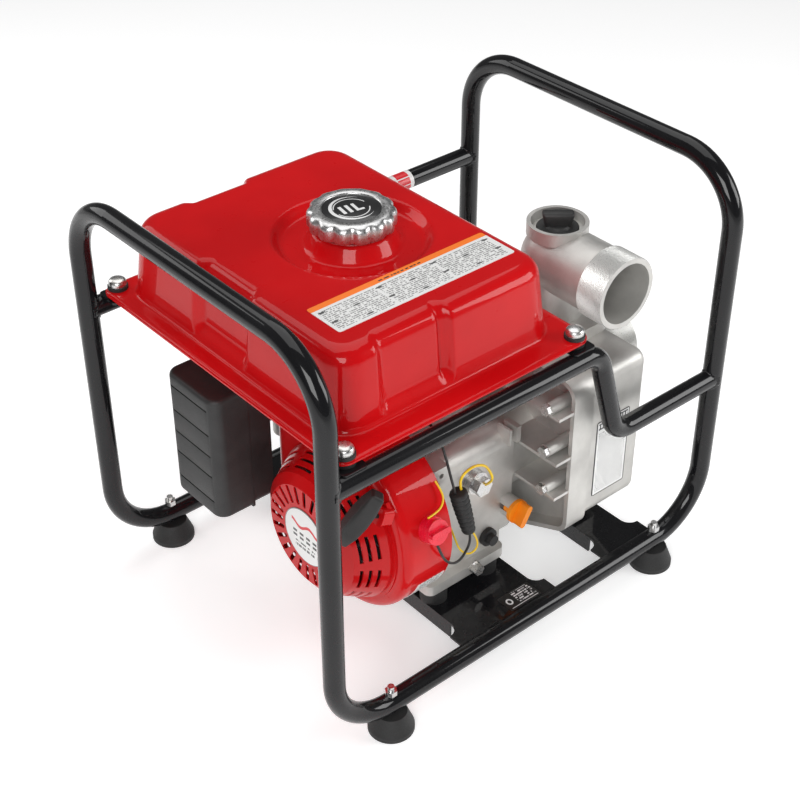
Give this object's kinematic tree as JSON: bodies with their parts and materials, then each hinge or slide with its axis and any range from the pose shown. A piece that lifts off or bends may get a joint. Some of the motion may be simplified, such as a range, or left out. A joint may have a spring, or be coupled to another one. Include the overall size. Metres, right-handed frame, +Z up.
{
  "type": "portable fire pump",
  "caption": "Engine-driven centrifugal water pump in an open tube cage, with a pressed fuel tank on top, a recoil starter, and threaded inlet and outlet ports.",
  "frame": {"origin": "on the ground under the middle of the cage", "axes": "+Z up, +X from the recoil starter towards the pump's inlet, -Y towards the side that the outlet faces"},
  "size_m": [0.625, 0.501, 0.5525],
  "materials": {
    "black_paint": "gloss",
    "red_paint": "gloss",
    "zinc": "satin",
    "chrome": "polished",
    "cast_alu": "satin cast",
    "rubber": "matte",
    "black_plastic": "matte",
    "orange_plastic": "satin",
    "red_plastic": "satin",
    "cable_black": "satin",
    "cable_yellow": "satin",
    "steel": "machined",
    "cast_iron": "cast",
    "foam": "open foam",
    "muffler_steel": "satin",
    "rope": "braided"
  },
  "bodies": {
    "machine": {"left_hoop": "black_paint", "right_hoop": "black_paint", "bottom_rails": "black_paint", "front_crossbar": "black_paint", "rear_crossbar": "black_paint", "engine_base_plate": "black_paint", "pump_base_plate": "black_paint", "rubber_feet": "rubber", "foot_bolts": "zinc", "tank_upper_shell": "red_paint", "tank_lower_shell": "red_paint", "tank_washers": "rubber", "tank_bolts": "zinc", "fuel_strainer": "steel", "crankcase": "cast_alu", "crankcase_cover": "cast_alu", "main_bearings": "steel", "cylinder_head": "cast_alu", "valve_cover": "cast_alu", "spark_plug": "steel", "blower_housing": "red_paint", "recoil_cover": "red_paint", "stop_switch_body": "red_plastic", "oil_drain_bolt": "zinc", "oil_plug": "black_plastic", "oil_level_switch": "zinc", "wire_boot": "rubber", "switch_wire": "cable_black", "sensor_wire": "cable_yellow", "engine_lead": "cable_black", "air_cleaner_cover": "black_plastic", "air_cleaner_base": "black_plastic", "air_filter": "foam", "carburettor": "cast_alu", "muffler": "muffler_steel", "muffler_guard": "muffler_steel", "rubber_mounts": "rubber", "mount_bolts": "zinc", "pump_back_plate": "cast_alu", "pump_case": "cast_alu", "case_bolts": "zinc", "volute": "cast_iron", "discharge_elbow": "cast_alu", "suction_port": "cast_alu"},
    "crank_train": {"crankshaft": "steel", "flywheel_fan": "cast_iron", "impeller": "cast_iron", "mechanical_seal": "steel"},
    "pull_grip": {"pull_handle": "black_plastic", "pull_rope": "rope"},
    "starter_pulley": {"recoil_pulley": "black_plastic"},
    "fuel_cap": {"fuel_cap": "chrome"},
    "priming_cap": {"priming_cap": "black_plastic"},
    "oil_cap": {"oil_filler_cap": "orange_plastic"},
    "drain_plug": {"pump_drain_plug": "zinc"},
    "stop_knob": {"stop_switch_knob": "red_plastic"},
    "choke_lever": {"choke_lever": "zinc"},
    "fuel_lever": {"fuel_valve_lever": "black_plastic"},
    "throttle_lever": {"throttle_lever": "zinc"},
    "inlet_flap": {"check_valve": "rubber"}
  },
  "joints": [
    {"name": "crank_spin", "type": "hinge", "parent": "machine", "child": "crank_train", "pos_m": [0, -0.073, 0.189], "axis": [1, 0, 0], "continuous": true},
    {"name": "starter_pull", "type": "slide", "parent": "machine", "child": "pull_grip", "axis": [-0.9207, 0, 0.3903], "range_m": [0, 0.5], "stiffness_N_per_m": 12, "springref_m": -0.15},
    {"name": "pulley_spin", "type": "hinge", "parent": "machine", "child": "starter_pulley", "pos_m": [-0.205, -0.073, 0.189], "axis": [1, 0, 0], "range_deg": [0, 620]},
    {"name": "fuel_cap_turn", "type": "hinge", "parent": "machine", "child": "fuel_cap", "pos_m": [-0.082, 0.003, 0.514], "axis": [0, 0, 1], "range_deg": [0, 120]},
    {"name": "priming_cap_turn", "type": "hinge", "parent": "machine", "child": "priming_cap", "pos_m": [0.166, -0.073, 0.448], "axis": [0, 0, 1], "range_deg": [0, 360]},
    {"name": "oil_cap_turn", "type": "hinge", "parent": "machine", "child": "oil_cap", "pos_m": [0.038, -0.153, 0.14], "axis": [0, -1, 0], "range_deg": [0, 360]},
    {"name": "drain_plug_turn", "type": "hinge", "parent": "machine", "child": "drain_plug", "pos_m": [0.208, -0.073, 0.108], "axis": [1, 0, 0], "range_deg": [0, 360]},
    {"name": "stop_switch_turn", "type": "hinge", "parent": "machine", "child": "stop_knob", "pos_m": [-0.13, -0.073, 0.189], "axis": [0, -0.9563, 0.2924], "range_deg": [0, 60]},
    {"name": "choke_swing", "type": "hinge", "parent": "machine", "child": "choke_lever", "pos_m": [-0.154, 0.0943, 0.266], "axis": [0, 1, 0], "range_deg": [0, 50]},
    {"name": "fuel_valve_swing", "type": "hinge", "parent": "machine", "child": "fuel_lever", "pos_m": [-0.128, 0.0943, 0.226], "axis": [0, 1, 0], "range_deg": [0, 90]},
    {"name": "throttle_swing", "type": "hinge", "parent": "machine", "child": "throttle_lever", "pos_m": [-0.14, 0.008, 0.317], "axis": [0, 0, 1], "range_deg": [-20, 30]},
    {"name": "inlet_flap_swing", "type": "hinge", "parent": "machine", "child": "inlet_flap", "pos_m": [0.2105, -0.073, 0.287], "axis": [0, 1, 0], "range_deg": [0, 35]}
  ],
  "couplings": [
    {"joint": "pulley_spin", "follows": "starter_pull", "rad_per_m": 21.5}
  ]
}
